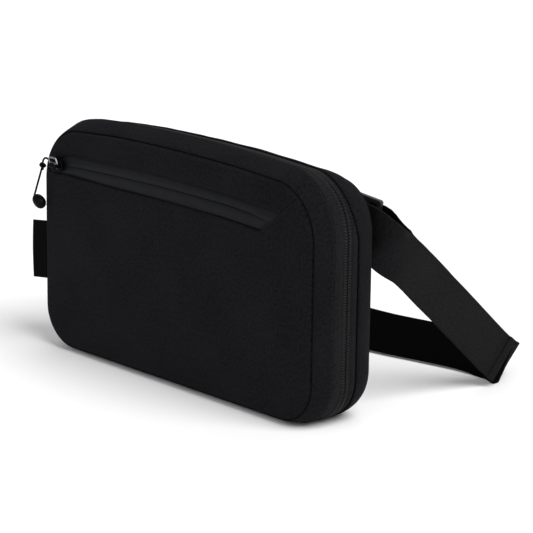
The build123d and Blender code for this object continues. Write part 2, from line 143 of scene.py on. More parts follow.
# ------------------------------------------------------------------ materials
class Graph:
    """A material's node tree, with short calls to add and link nodes."""

    def __init__(self, name):
        self.material = bpy.data.materials.new(name)
        self.material.use_nodes = True
        self.tree = self.material.node_tree
        self.shader = self.tree.nodes["Principled BSDF"]

    def node(self, kind, **inputs):
        made = self.tree.nodes.new(kind)
        for key, value in inputs.items():
            self.feed(made, key.replace("_", " "), value)
        return made

    def feed(self, node, key, value):
        socket = node.inputs[int(key)] if key.isdigit() else node.inputs[key]
        if isinstance(value, bpy.types.NodeSocket):
            self.tree.links.new(value, socket)
        else:
            socket.default_value = value

    def math(self, operation, a, b=0.0):
        made = self.tree.nodes.new("ShaderNodeMath")
        made.operation = operation
        self.feed(made, "0", a)
        self.feed(made, "1", b)
        return made.outputs[0]

    def noise(self, coordinates, scale, detail=3.0):
        made = self.node("ShaderNodeTexNoise", Vector=coordinates, Scale=scale, Detail=detail)
        return made.outputs["Fac"]

    def ramp(self, factor, low, high, start=0.0, end=1.0):
        made = self.node("ShaderNodeValToRGB", Fac=factor)
        made.color_ramp.elements[0].position, made.color_ramp.elements[1].position = start, end
        made.color_ramp.elements[0].color = (*low, 1)
        made.color_ramp.elements[1].color = (*high, 1)
        return made.outputs["Color"]

    def bump(self, height, distance, strength=1.0):
        made = self.node("ShaderNodeBump", Height=height, Distance=distance, Strength=strength)
        self.tree.links.new(made.outputs["Normal"], self.shader.inputs["Normal"])

    def finish(self, roughness, specular, sheen=0.0, coat=0.0, metal=0.0):
        inputs = self.shader.inputs
        if not isinstance(roughness, float):
            self.tree.links.new(roughness, inputs["Roughness"])
        else:
            inputs["Roughness"].default_value = roughness
        inputs["Specular IOR Level"].default_value = specular
        inputs["Sheen Weight"].default_value = sheen
        inputs["Sheen Roughness"].default_value = 0.45
        inputs["Coat Weight"].default_value = coat
        inputs["Coat Roughness"].default_value = 0.18
        inputs["Metallic"].default_value = metal
        return self.material


def woven(name, dark, light, pitch, roughness, specular, sheen, depth, ribs=1.0):
    """Plain weave on UVs in metres: checkered over-and-under threads, fibre noise and slow mottling.
    ribs above 1 packs the threads closer across than along, as in webbing and binding."""
    g = Graph(name)
    uv = g.node("ShaderNodeUVMap").outputs["UV"]
    parts = g.node("ShaderNodeSeparateXYZ", Vector=uv)
    across = g.math("MULTIPLY", parts.outputs["X"], ribs / (pitch * MM))
    along = g.math("MULTIPLY", parts.outputs["Y"], 1 / (pitch * MM))
    grid = g.node("ShaderNodeCombineXYZ", X=across, Y=along).outputs["Vector"]
    check = g.node("ShaderNodeTexChecker", Vector=grid, Scale=1.0).outputs["Fac"]
    warp = g.math("ABSOLUTE", g.math("SINE", g.math("MULTIPLY", across, math.pi)))
    weft = g.math("ABSOLUTE", g.math("SINE", g.math("MULTIPLY", along, math.pi)))
    over = g.math("MULTIPLY", warp, check)
    under = g.math("MULTIPLY", weft, g.math("SUBTRACT", 1.0, check))
    height = g.math("ADD", over, under)
    fibre = g.noise(uv, 2600.0)
    slub = g.noise(uv, 620.0, 2.0)
    cloud = g.noise(uv, 26.0, 2.0)
    tone = g.math("ADD", g.math("MULTIPLY", height, 0.2), g.math("MULTIPLY", fibre, 0.25))
    tone = g.math("ADD", tone, g.math("MULTIPLY", slub, 0.4))
    tone = g.math("ADD", tone, g.math("MULTIPLY", cloud, 0.15))
    g.feed(g.shader, "Base Color", g.ramp(tone, dark, light, 0.4, 0.6))
    surface = g.math("ADD", g.math("MULTIPLY", height, 0.6), g.math("MULTIPLY", fibre, 0.4))
    g.bump(g.math("ADD", surface, slub), depth * MM)
    return g.finish(roughness, specular, sheen)


def moulded(name, dark, light, roughness, specular, grain, coat=0.0, metal=0.0, scale=900.0):
    """Plastic, rubber, foam or painted metal: a fine grain in its colour, gloss and bump."""
    g = Graph(name)
    place = g.node("ShaderNodeTexCoord").outputs["Object"]
    fine = g.noise(place, scale, 4.0)
    slow = g.noise(place, 60.0, 2.0)
    tone = g.math("ADD", g.math("MULTIPLY", fine, 0.5), g.math("MULTIPLY", slow, 0.5))
    g.feed(g.shader, "Base Color", g.ramp(tone, dark, light, 0.3, 0.7))
    gloss = g.math("ADD", roughness - 0.06, g.math("MULTIPLY", slow, 0.12))
    g.bump(fine, grain * MM)
    return g.finish(gloss, specular, coat=coat, metal=metal)


def grey(level, blue=1.12, red=1.0):
    return (level * red, level, level * blue)


SHELL_DARK, SHELL_LIGHT = grey(0.0005, 1.25, 1.02), grey(0.0098, 1.25, 1.02)
TAPE_DARK, TAPE_LIGHT = grey(0.002, 1.5, 0.9), grey(0.004, 1.5, 0.9)
WOVEN = {
    # dark, light, thread pitch in mm, roughness, specular, sheen, bump depth in mm, ribs
    "shell_fabric": (SHELL_DARK, SHELL_LIGHT, 0.45, 0.9, 0.045, 0.01, 0.2),
    "spacer_mesh": (grey(0.004), grey(0.016), 2.2, 0.9, 0.12, 0.05, 0.6),
    "lining": (grey(0.035), grey(0.065), 0.35, 0.75, 0.25, 0.05, 0.06),
    "binding_tape": (grey(0.006), grey(0.016), 0.8, 0.85, 0.2, 0.05, 0.2, 2.0),
    "zip_tape": (grey(0.002, 1.15), grey(0.0125, 1.15), 0.6, 0.8, 0.05, 0.02, 0.2, 1.5),
    "webbing": (grey(0.0018), grey(0.0105), 0.95, 0.75, 0.05, 0.02, 0.3, 1.6),
    # A darker copy of the webbing: painted shade for the strap's back run and the webbing under the tail
    "webbing_painted_shade": (grey(0.0006), grey(0.0022), 0.95, 0.9, 0.02, 0.0, 0.3, 1.6),
    "label": (grey(0.0008), grey(0.003), 0.4, 0.8, 0.02, 0.0, 0.08, 1.5),
    "cord": (grey(0.0005), grey(0.003), 0.45, 0.8, 0.04, 0.0, 0.12),
}
MOULDED = {
    # dark, light, roughness, specular, grain depth in mm, coat, metal, grain scale
    "foam": (grey(0.09), grey(0.13), 0.85, 0.2, 0.25),
    "coil": (grey(0.003), grey(0.006), 0.5, 0.14, 0.02),
    "coated_tape": (TAPE_DARK, TAPE_LIGHT, 0.5, 0.085, 0.06),
    "zip_metal": (grey(0.16), grey(0.26), 0.2, 0.5, 0.01, 0.3, 0.9),
    "buckle_plastic": (grey(0.008), grey(0.014), 0.36, 0.4, 0.03),
    "pull_rubber": (grey(0.0008), grey(0.0024), 0.4, 0.06, 0.02),
    "slider_paint": (grey(0.0006), grey(0.0018), 0.55, 0.035, 0.01),
    "thread": (grey(0.006), grey(0.014), 0.6, 0.12, 0.05, 0.0, 0.0, 4000.0),
    # A much darker copy of the thread: the rear fold's stitches in their thread colour plus painted shade along the
    # seam
    "seam_thread_painted_shade": (grey(0.0004), grey(0.0012), 0.8, 0.03, 0.05, 0.0, 0.0, 4000.0),
}
MATERIALS = {name: woven(name, *row) for name, row in WOVEN.items()}
MATERIALS.update({name: moulded(name, *row) for name, row in MOULDED.items()})

for node_name, cad_object in frame["nodes"].items():
    row = next(r for r in frame["record"]["subparts"] if r["node"] == node_name)
    cad_object.data.materials.clear()
    cad_object.data.materials.append(MATERIALS[row["material_slot"]])


# ------------------------------------------------------------------ mesh helpers
def made(name, slot_name, mesh, body, nodes=(), bends=False, material=None):
    """Links a finished mesh as a piece: its material (the given one, else the slot name's), its body unless it bends
    (then its transform is baked in instead), and hides the CAD nodes it stands for.
    """
    piece = bpy.data.objects.new(name, mesh)
    scene.collection.objects.link(piece)
    mesh.materials.append(MATERIALS[material or slot_name])
    if bends:
        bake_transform(piece)
    else:
        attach(piece, body)
    if nodes:
        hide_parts(*nodes)
    return piece


def mesh_of(name, points, faces, uvs=None):
    """A smooth-shaded mesh from mm points; uvs are given per vertex, in metres."""
    mesh = bpy.data.meshes.new(name)
    mesh.from_pydata((np.asarray(points) * MM).tolist(), [], [list(map(int, f)) for f in faces])
    layer = mesh.uv_layers.new(name="UVMap")
    if uvs is not None:
        loops = np.empty(len(mesh.loops), int)
        mesh.loops.foreach_get("vertex_index", loops)
        layer.data.foreach_set("uv", np.asarray(uvs, float)[loops].ravel())
    mesh.polygons.foreach_set("use_smooth", [True] * len(mesh.polygons))
    mesh.update()
    return mesh


def tube_faces(rings, sides, closed_ring=True, closed_path=False, first=0):
    """Quads of a grid of rings × sides vertices, numbered ring by ring."""
    faces = []
    for i in range(rings if closed_path else rings - 1):
        a, b = first + i * sides, first + ((i + 1) % rings) * sides
        for j in range(sides if closed_ring else sides - 1):
            k = (j + 1) % sides
            faces.append((a + j, a + k, b + k, b + j))
    return faces


def caps(rings, sides, first=0):
    """The two end faces of such a tube."""
    last = first + (rings - 1) * sides
    return [tuple(range(first + sides - 1, first - 1, -1)), tuple(range(last, last + sides))]


def around(count):
    """Angles spaced evenly round a circle."""
    return np.linspace(0, 2 * math.pi, count, endpoint=False)


def lengths(points):
    """Distance along a polyline, starting at 0."""
    steps = np.linalg.norm(np.diff(np.asarray(points, float), axis=0), axis=1)
    return np.concatenate([[0.0], np.cumsum(steps)])


# ------------------------------------------------------------------ the bag's outline
def rounded_path(corners, radii, step, arc_step):
    """Points with outward normals round a closed polygon whose corners are arcs."""
    points, count = [], len(corners)
    arcs = []
    for i, (corner, radius) in enumerate(zip(corners, radii)):
        before, after = np.array(corners[i - 1], float), np.array(corners[(i + 1) % count], float)
        corner = np.array(corner, float)
        arriving = (corner - before) / np.linalg.norm(corner - before)
        leaving = (after - corner) / np.linalg.norm(after - corner)
        turn = math.atan2(arriving[0] * leaving[1] - arriving[1] * leaving[0], arriving @ leaving)
        reach = radius * math.tan(turn / 2)
        start = corner - arriving * reach
        centre = start + radius * np.array([-arriving[1], arriving[0]])
        first_angle = math.atan2(-arriving[0], arriving[1])
        arcs.append((start, centre, radius, first_angle, turn, corner + leaving * reach))
    for i, (_, centre, radius, angle, turn, end) in enumerate(arcs):
        turns = max(2, round(abs(turn) * radius / (arc_step if radius < 100 else step)))
        for k in range(turns):
            a = angle + turn * k / turns
            normal = np.array([math.cos(a), math.sin(a)])
            points.append((*(centre + radius * normal), *normal))
        run = arcs[(i + 1) % count][0] - end
        direction = run / np.linalg.norm(run)
        steps = max(1, round(np.linalg.norm(run) / step))
        for k in range(steps):
            points.append((*(end + run * k / steps), direction[1], -direction[0]))
    return np.array(points)


def bag_outline(step, arc_step):
    """The outline at the front seam, from the lower left corner round to the right."""
    corners = [
        (-HALF_WIDTH, SEAM_LOW), (HALF_WIDTH, SEAM_LOW), (HALF_WIDTH, SHOULDER),
        (0, CROWN), (-HALF_WIDTH, SHOULDER),
    ]
    path = rounded_path(corners, [LOW_RADIUS, LOW_RADIUS, TOP_RADIUS, CROWN_RADIUS, TOP_RADIUS], step, arc_step)
    path[:, 1] += top_lift(path[:, 0], path[:, 1])
    return path


def top_lift(x, z):
    """The filled bag's top swells upwards, most over its left half."""
    rise = np.interp(x, LIFT_X, LIFT_Z)
    t = np.clip((z - 95) / 45, 0, 1)
    return rise * t * t * (3 - 2 * t)


def place(path, outset, y):
    """Moves outline points outwards and to a depth. The lower side moves LOW_SHARE as far, to stand on the floor."""
    upward = np.clip(path[:, 3], 0, 1)
    fullness = np.clip((path[:, 0] + 112) / 30, 0, 1)
    swell = np.interp(y, SWELL_Y, SWELL) * upward**2 * fullness
    outset = outset + swell - upward**4 * np.interp(y, DROOP_Y, DROOP)
    x = path[:, 0] + path[:, 2] * outset
    low_share = np.where(path[:, 3] < 0, LOW_SHARE + (1 - LOW_SHARE) * (1 + np.minimum(path[:, 3], 0)), 1)
    z = path[:, 1] + path[:, 3] * outset * low_share
    return np.stack([x, np.broadcast_to(y, x.shape), np.maximum(z, LOWEST)], axis=1)


def waves(x, y, z, size, seed):
    """Slow smooth noise in −1 to 1 at points in mm, with features about size mm long."""
    shift = Vector((seed * 17.3, seed * 5.1, seed * 9.7))
    grid = zip(np.ravel(x), np.ravel(y), np.ravel(z))
    values = [noise.noise(Vector(p) / size + shift) for p in grid]
    return np.array(values).reshape(np.shape(x))


def shoulder(path):
    """1 at the top right corner of the outline, 0 away from it."""
    return 2 * np.clip(path[:, 2], 0, 1) * np.clip(path[:, 3], 0, 1)


COIL_PITCH, SHOWN_PITCH = 1.25, 1.6
WRINKLE_SIZE = 16.0


def loop_strip(name, slot_name, profile, step, body, nodes, bends, wrinkle=0.0, rib=0.0, pitch=COIL_PITCH,
               seed=1, drawn=0.0):
    """A closed band of cloth round the bag with a closed (depth, outset) profile.
    rib raises a coil's turns, pitch mm apart, on the profile's outer points; drawn pulls its front edge
    forward at the right shoulder."""
    path = bag_outline(step, min(step, 1.5))
    along = lengths(np.vstack([path[:, :2], path[:1, :2]]))
    total, along = along[-1], along[:-1]
    profile = np.array(profile, float)
    outer = profile[:, 1] > profile[:, 1].mean()
    turns = round(total / pitch)
    ridge = np.abs(np.sin(math.pi * along / total * turns)) ** 0.7
    columns = []
    for (y, outset), raised in zip(profile, outer):
        lift = np.full(len(path), outset, float)
        if rib and raised:
            lift += rib * (ridge - 1)
        depth = y - drawn * shoulder(path) * np.clip((15 - y) / 6, 0, 1)
        if wrinkle:
            bumpy = waves(path[:, 0], depth * 0.6, path[:, 1], WRINKLE_SIZE, seed)
            edge = min(1.0, (y - profile[:, 0].min()) / 4.0, (profile[:, 0].max() - y) / 4.0)
            lift += wrinkle * bumpy * max(edge, 0.12)
        columns.append(place(path, lift, depth))
    grid = np.stack(columns, axis=1)
    around = lengths(np.vstack([profile, profile[:1]]))[:-1]
    u = np.repeat(along[:, None], len(profile), axis=1)
    v = np.repeat(around[None, :], len(path), axis=0)
    faces = tube_faces(len(path), len(profile), True, True)
    mesh = mesh_of(name, grid.reshape(-1, 3), faces, np.stack([v, u], axis=2).reshape(-1, 2) * MM)
    return made(name, slot_name, mesh, body, nodes, bends)


# ------------------------------------------------------------------ panels
def resample(points, spacing):
    """Points along a polyline at given fractions of its length."""
    points = np.asarray(points, float)
    along = lengths(points)
    wanted = spacing * along[-1]
    return np.stack([np.interp(wanted, along, points[:, k]) for k in range(points.shape[1])], axis=1)


def edge_spacing(count, edge, size):
    """Fractions from 0 to 1 that crowd near both ends: first steps of about edge out of size."""
    t = np.linspace(0, 1, count)
    bunch = 0.5 - 0.5 * np.cos(math.pi * t)
    share = min(0.85, max(0.2, 1 - edge * count / size))
    return (1 - share) * t + share * bunch


def coons(bottom, right, top, left):
    """A grid inside four boundary polylines. bottom and top run left to right, left and right run upwards."""
    rows, columns = len(left), len(bottom)
    u = np.linspace(0, 1, columns)[None, :, None]
    v = np.linspace(0, 1, rows)[:, None, None]
    ruled_v = (1 - v) * bottom[None] + v * top[None]
    ruled_u = (1 - u) * left[:, None] + u * right[:, None]
    corners = (1 - u) * (1 - v) * bottom[0] + u * (1 - v) * bottom[-1] + (1 - u) * v * top[0] + u * v * top[-1]
    return ruled_v + ruled_u - corners


def distance_to(points, line):
    """Distance of each (x, z) point to a polyline."""
    points, line = np.asarray(points, float), np.asarray(line, float)
    best = np.full(points.shape[:-1], 1e9)
    for a, b in zip(line[:-1], line[1:]):
        run = b - a
        share = np.clip(((points - a) @ run) / max(run @ run, 1e-9), 0, 1)
        best = np.minimum(best, np.linalg.norm(points - a - share[..., None] * run, axis=-1))
    return best


def rim(distance, reach):
    """0 at an edge, 1 from reach inwards, round like a folded cloth edge."""
    t = np.clip(distance / reach, 0, 1)
    return np.sqrt(np.clip(1 - (1 - t) ** 2, 0, 1))


def thickened(grid, depth, thick, faces_front=True):
    """A closed slab from a grid of (x, z) points, their face's depth, and the cloth's thickness behind it."""
    rows, columns = depth.shape
    sign = 1 if faces_front else -1
    front = np.stack([grid[..., 0], depth, grid[..., 1]], axis=2).reshape(-1, 3)
    back = front + np.array([0, sign * thick, 0])
    count = rows * columns
    quads = tube_faces(rows, columns, closed_ring=False)
    quads = [q if faces_front else q[::-1] for q in quads]
    faces = quads + [tuple(count + i for i in q[::-1]) for q in quads]
    index = np.arange(count).reshape(rows, columns)
    border = [*index[0, :], *index[1:, -1], *index[-1, -2::-1], *index[-2:0:-1, 0]]
    for a, b in zip(border, border[1:] + border[:1]):
        wall = (a, count + a, count + b, b)
        faces.append(wall if faces_front else wall[::-1])
    uvs = np.tile(grid.reshape(-1, 2) * MM, (2, 1))
    return np.vstack([front, back]), faces, uvs


def inflate(grid, depth, fixed, pressure, cap, outwards=-1, frames=16):
    """Cloth simulation of a padded face: pinned at its seams, pressed outwards, its movement capped."""
    rows, columns = depth.shape
    points = np.stack([grid[..., 0], depth, grid[..., 1]], axis=2).reshape(-1, 3)
    mesh = mesh_of("cloth_rest", points, tube_faces(rows, columns, closed_ring=False))
    if outwards > 0:
        mesh.flip_normals()
    cloth = bpy.data.objects.new("cloth_rest", mesh)
    scene.collection.objects.link(cloth)
    pins = cloth.vertex_groups.new(name="pins")
    for i, held in enumerate(fixed.ravel()):
        if held > 0:
            pins.add([i], float(held), "REPLACE")
    modifier = cloth.modifiers.new("cloth", "CLOTH")
    settings = modifier.settings
    settings.vertex_group_mass = "pins"
    settings.quality = 6
    settings.mass = 0.3
    settings.tension_stiffness = settings.compression_stiffness = 12
    settings.shear_stiffness = 8
    settings.bending_stiffness = 2.0
    settings.use_pressure = True
    settings.uniform_pressure_force = pressure
    settings.effector_weights.gravity = 0
    modifier.collision_settings.use_collision = False
    modifier.point_cache.frame_end = frames
    for f in range(1, frames + 1):
        scene.frame_set(f)
    bpy.context.view_layer.update()
    evaluated = cloth.evaluated_get(bpy.context.evaluated_depsgraph_get())
    moved = np.empty(len(points) * 3)
    evaluated.data.vertices.foreach_get("co", moved)
    change = (moved.reshape(-1, 3)[:, 1] / MM - points[:, 1]).reshape(rows, columns)
    scene.frame_set(1)
    bpy.data.objects.remove(cloth)
    bpy.data.meshes.remove(mesh)
    print("cloth moved", round(float(np.abs(change).max()), 2), "mm")
    return depth + np.clip(change, -cap if outwards < 0 else -0.3, 0.3 if outwards < 0 else cap)


fine_outline = bag_outline(1.2, 0.8)


def outline_index(x, z):
    """The outline point nearest to (x, z)."""
    return int(np.argmin(np.hypot(fine_outline[:, 0] - x, fine_outline[:, 1] - z)))


def outline_run(start, end):
    """The outline's (x, z) points from one index on to another, in its own direction."""
    count = len(fine_outline)
    steps = (end - start) % count
    return fine_outline[(start + np.arange(steps + 1)) % count, :2]


# Where the pocket zip's lower and upper cloth edges run, (x, z) in mm
SHARED_SEAM = [(100.2, 126.1), (104.5, 129.2), (108.5, 132.4), (111.8, 135.4)]
LOWER_EDGE = [
    (-125, 118.6), (-120, 117.0), (-116, 116.2), (-110, 115.8), (-95, 115.8), (-73, 115.3), (-50, 115.0),
    (-22, 115.0), (2, 114.7), (25, 114.3), (43, 113.9), (65, 112.8), (79, 111.9), (83, 112.0), (86.5, 114.4), (93, 119.8),
] + SHARED_SEAM
UPPER_EDGE = [
    (-125, 120.0), (-119, 120.2), (-114.5, 122.2), (-110, 125.6), (-104, 128.2), (-95, 129.5), (-78, 130.0),
    (-51, 130.6), (-24, 131.1), (2, 130.9), (43, 129.6), (74, 127.9), (92, 126.7), (98.5, 126.2),
] + [(x + 0.05, z + 0.3) for x, z in SHARED_SEAM]


def smooth_line(points, count):
    """A Catmull-Rom curve through points."""
    p = np.asarray(points, float)
    p = np.vstack([2 * p[0] - p[1], p, 2 * p[-1] - p[-2]])
    out = []
    for i in range(1, len(p) - 2):
        for t in np.linspace(0, 1, 12, endpoint=False):
            a, b, c, d = p[i - 1:i + 3]
            square, cube = 2 * a - 5 * b + 4 * c - d, 3 * b - a - 3 * c + d
            out.append(0.5 * (2 * b + (c - a) * t + square * t**2 + cube * t**3))
    out.append(p[-2])
    return resample(out, np.linspace(0, 1, count))


lower_line = smooth_line(LOWER_EDGE, 200)
upper_line = smooth_line(UPPER_EDGE, 200)
low_left = outline_index(-HALF_WIDTH + 7.3, SEAM_LOW + 7.3)
low_right = outline_index(HALF_WIDTH - 7.3, SEAM_LOW + 7.3)
join_right = outline_index(*LOWER_EDGE[-1])
join_left = outline_index(*LOWER_EDGE[0])
yoke_left = outline_index(*UPPER_EDGE[0])
yoke_right = outline_index(*UPPER_EDGE[-1])
top_left = outline_index(-HALF_WIDTH + 11, SHOULDER - 9)
closed_outline = np.vstack([fine_outline[:, :2], fine_outline[:1, :2]])
SEAM_TUCK = 1.1


def front_face(grid, slot_line, seed):
    """Depth of the padded front face: down into the seam round the outline and down to the zip tape."""
    to_seam = distance_to(grid, closed_outline)
    to_slot = distance_to(grid, slot_line)
    depth = FRONT_SEAM + SEAM_TUCK - (SEAM_TUCK + 1.3) * rim(to_seam, 1.7) - 2.5 * rim(to_seam, 30.0)
    shared = np.clip((grid[..., 0] - 98) / 4, 0, 1)
    depth += (1.1 - 0.75 * shared) * (1 - rim(to_slot, 1.5 - 0.9 * shared))
    inside = rim(np.minimum(to_seam, to_slot), 22.0)
    depth -= inside * (0.25 + 0.22 * waves(grid[..., 0], grid[..., 1] * 0, grid[..., 1], 34.0, seed))
    return depth, to_seam, to_slot


def add_panel(name, node, sides, slot_line, columns, rows, seed):
    """One padded front panel, from its four sides to a thick, inflated cloth piece."""
    across = edge_spacing(columns, 0.45, 220)
    up = edge_spacing(rows, 0.45, 110)
    bottom, right, top, left = (resample(side, s) for side, s in zip(sides, (across, up, across, up)))
    grid = coons(bottom, right, top, left)
    depth, to_seam, to_slot = front_face(grid, slot_line, seed)
    fixed = np.clip(1.6 - np.minimum(to_seam / 3.0, to_slot / 2.0), 0, 1)
    depth = inflate(grid, depth, fixed, PANEL_PRESSURE, PANEL_SWELL)
    depth = np.maximum(depth, PANEL_FACE - 1.1)
    points, faces, uvs = thickened(grid, depth, 1.0)
    piece = made(name, "shell_fabric", mesh_of(name, points, faces, uvs), "front_shell", [node], bends=True)
    return piece


add_panel(
    "front_panel_cloth", "front_main_panel",
    [outline_run(low_left, low_right), outline_run(low_right, join_right), lower_line,
     outline_run(join_left, low_left)[::-1]],
    lower_line, 150, 90, 1,
)
add_panel(
    "front_yoke_cloth", "front_yoke_panel",
    [upper_line, np.repeat(upper_line[-1:], 2, axis=0) + [[0, 0], [0.01, 0.3]],
     outline_run(yoke_right, top_left)[::-1], outline_run(top_left, yoke_left)[::-1]],
    upper_line, 130, 30, 2,
)

# ------------------------------------------------------------------ pocket zip
TAPE_Y = -25.5


def add_pocket_tape(name, node, edge, inner, seed):
    """One half of the coated zip tape: flat under the cloth, lifted over its coil, turned in at the middle."""
    columns, rows = 220, 12
    t = np.linspace(0, 1, columns)
    outer_side, inner_side = resample(edge, t), resample(inner, t)
    v = np.linspace(0, 1, rows) ** 0.8
    grid = outer_side[None] * (1 - v[:, None, None]) + inner_side[None] * v[:, None, None]
    to_middle = distance_to(grid, inner)
    to_cloth = distance_to(grid, edge)
    depth = TAPE_Y - 0.3 * np.exp(-((to_middle - 2.6) / 2.4) ** 2) + 0.05 * np.exp(-(to_middle / 0.3) ** 2)
    depth += 0.7 * np.exp(-((to_cloth - 1.9) / 0.8) ** 2)
    depth += 0.12 * waves(grid[..., 0], grid[..., 1] * 0, grid[..., 1], 9.0, seed)
    up = grid[-1, 0, 1] > grid[0, 0, 1]
    if not up:
        grid, depth = grid[::-1], depth[::-1]
    points, faces, uvs = thickened(grid, depth, 0.5)
    made(name, "coated_tape", mesh_of(name, points, faces, uvs), "front_shell", [node])


ZIP_LINE = [
    (-118.5, 119.6), (-107, 121.3), (-80, 122.4), (-40, 123.2), (0, 123.4), (45, 122.6), (70, 121.2), (97, 118.6)]
zip_line = smooth_line(ZIP_LINE, 200)
under_low = lower_line[(lower_line[:, 0] > -119) & (lower_line[:, 0] < 95)] + [0, -1.8]
under_high = upper_line[(upper_line[:, 0] > -119) & (upper_line[:, 0] < 108)] + [0, 1.6]
add_pocket_tape("pocket_tape_lower_cloth", "pocket_zip_tape_lower", under_low, zip_line - [0, 0.02], 3)
zip_right = smooth_line(ZIP_LINE + [(106, 127.0)], 200)
add_pocket_tape("pocket_tape_upper_cloth", "pocket_zip_tape_upper", under_high, zip_right + [0, 0.02], 4)


def add_coil_row(name, node, sides=10, step=0.25):
    """A straight run of coil turns behind the pocket tape."""
    low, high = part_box(node)
    x = np.arange(low.x / MM + 0.2, high.x / MM - 0.2, step)
    height = 0.5 + 0.5 * np.abs(np.sin(math.pi * x / COIL_PITCH)) ** 0.7
    centre_z, half = (low.z + high.z) / 2 / MM, (high.z - low.z) / 2 / MM
    back, front = high.y / MM, low.y / MM
    swing = 0.6 + 0.4 * height
    rings = []
    for angle in around(sides):
        rings.append(np.stack([
            x, (front + back) / 2 + (back - front) / 2 * math.sin(angle) * swing,
            centre_z + half * math.cos(angle) * swing], axis=1))
    grid = np.stack(rings, axis=1)
    faces = tube_faces(len(x), sides) + caps(len(x), sides)
    made(name, "coil", mesh_of(name, grid.reshape(-1, 3), faces), "front_shell", [node])


add_coil_row("pocket_coil_lower_turns", "pocket_zip_coil_lower")
add_coil_row("pocket_coil_upper_turns", "pocket_zip_coil_upper")

# ------------------------------------------------------------------ gussets and main zip
FRONT_GUSSET = [
    (-21.5, -1.2), (-21.7, -0.3), (-22.6, 0.25), (-23.25, 0.7), (-23.2, 1.15), (-22.4, 1.75), (-20.6, 2.6),
    (-18.0, 3.6), (-15.4, 4.5), (-13.2, 5.2),
    (-12.0, 5.55), (-11.3, 5.62), (-10.9, 5.35), (-10.8, 4.95), (-11.2, 4.62), (-12.6, 4.35), (-15.4, 3.3),
    (-18.0, 2.5), (-20.6, 1.3), (-21.2, -0.3), (-21.0, -1.4),
]
FRONT_TAPE = [
    (-11.6, 4.5), (-10.9, 4.72), (-7.5, 4.85), (-4.3, 4.9), (-4.1, 4.6), (-4.3, 4.3), (-7.5, 4.2), (-11.6, 4.1)]
FRONT_COIL = [
    (-4.3, 4.75), (-3.9, 5.35), (-3.1, 5.8), (-2.2, 5.85), (-1.5, 5.55), (-1.12, 5.0), (-1.15, 4.3), (-2.2, 3.6),
    (-3.6, 3.7), (-4.2, 4.2),
]
REAR_GUSSET = [
    (7.5, 4.5), (7.6, 5.1), (8.0, 5.4), (8.8, 5.5), (11.0, 5.1), (14.5, 4.1), (18.0, 2.7), (21.0, 1.0),
    (22.4, -0.2), (23.1, -1.2), (23.2, -2.4), (22.7, -2.6), (22.0, -1.4), (18.0, 1.5), (14.5, 3.0), (10.0, 4.1),
]


def reflected(profile):
    """A profile on the other side of the zip's centre line."""
    return [(2 * ZIP_CENTRE - y, outset) for y, outset in profile][::-1]


REAR_TAPE = [
    (9.6, 4.5), (8.9, 4.72), (5.5, 4.85), (2.3, 4.9), (2.1, 4.6), (2.3, 4.3), (5.5, 4.2), (9.4, 4.1)]
# How far the rear fold leans forward at the top right corner
SHOULDER_PULL = 3.2
FRONT = dict(body="front_shell", bends=True)
REAR = dict(body="rear_shell", bends=False)
loop_strip(
    "front_gusset_cloth", "shell_fabric", FRONT_GUSSET, 1.5, nodes=["front_gusset"],
    wrinkle=0.45, seed=5, **FRONT)
loop_strip("front_tape_cloth", "zip_tape", FRONT_TAPE, 2.0, nodes=["main_zip_tape_front"], **FRONT)
COIL_LOOK = dict(rib=0.9, pitch=SHOWN_PITCH)
loop_strip("front_coil_turns", "coil", FRONT_COIL, 0.25, nodes=["main_zip_coil_front"], **COIL_LOOK, **FRONT)
loop_strip(
    "rear_coil_turns", "coil", reflected(FRONT_COIL), 0.25, nodes=["main_zip_coil_back"], **COIL_LOOK, **REAR)
loop_strip("rear_tape_cloth", "zip_tape", REAR_TAPE, 2.0, nodes=["main_zip_tape_back"], **REAR)
loop_strip(
    "rear_gusset_cloth", "shell_fabric", REAR_GUSSET, 1.5, nodes=["back_gusset", "bottom_gusset"],
    wrinkle=0.4, seed=7, drawn=SHOULDER_PULL, **REAR)
loop_strip(
    "front_binding_tape", "binding_tape",
    [(-24.6, -2.5), (-21.1, -2.4), (-20.9, -3.0), (-21.1, -3.6), (-24.6, -3.5), (-24.8, -3.0)], 2.0,
    nodes=["front_seam_binding"], **FRONT)
loop_strip(
    "rear_binding_tape", "binding_tape",
    [(20.5, -0.4), (22.4, -0.3), (22.6, -1.2), (22.4, -2.0), (20.5, -2.0), (20.3, -1.2)], 2.0,
    nodes=["back_seam_binding"], **REAR)


def stitch_row(name, points, normals, pitch, length, width, body, bends, material="thread"):
    """A row of sewn stitches: small rounded beads along a line, in mm, each lying on the cloth."""
    points, normals = np.asarray(points, float), np.asarray(normals, float)
    along = lengths(points)
    vertices, faces = [], []
    for s in np.arange(pitch / 2, along[-1] - pitch / 2, pitch):
        centre, ahead = (np.array([np.interp(s + d, along, points[:, k]) for k in range(3)]) for d in (0, 0.4))
        normal = np.array([np.interp(s, along, normals[:, k]) for k in range(3)])
        tangent = (ahead - centre) / max(np.linalg.norm(ahead - centre), 1e-9)
        normal /= np.linalg.norm(normal)
        side = np.cross(tangent, normal)
        first = len(vertices)
        for share, size in ((-0.5, 0.3), (-0.32, 0.85), (0, 1.0), (0.32, 0.85), (0.5, 0.3)):
            for angle in around(6):
                vertices.append(
                    centre + tangent * length * share + side * (width / 2 * size * math.cos(angle))
                    + normal * (width / 2 * size * math.sin(angle) - (1 - size) * width * 0.3))
        faces += tube_faces(5, 6, first=first) + caps(5, 6, first)
    return made(name, "shell_fabric", mesh_of(name, vertices, faces), body, bends=bends, material=material)


def band_stitches(name, y, outset, pitch, length, width, body, bends, drawn=0.0, material="thread"):
    """A stitch row round the gusset at one depth."""
    path = bag_outline(1.5, 1.0)
    path = np.vstack([path, path[:1]])
    points = place(path, outset, y - drawn * shoulder(path))
    normals = np.stack([path[:, 2], np.zeros(len(path)), path[:, 3]], axis=1)
    points[:, 2] = np.maximum(points[:, 2], 0.4)
    stitch_row(name, points, normals, pitch, length, width, body, bends, material=material)


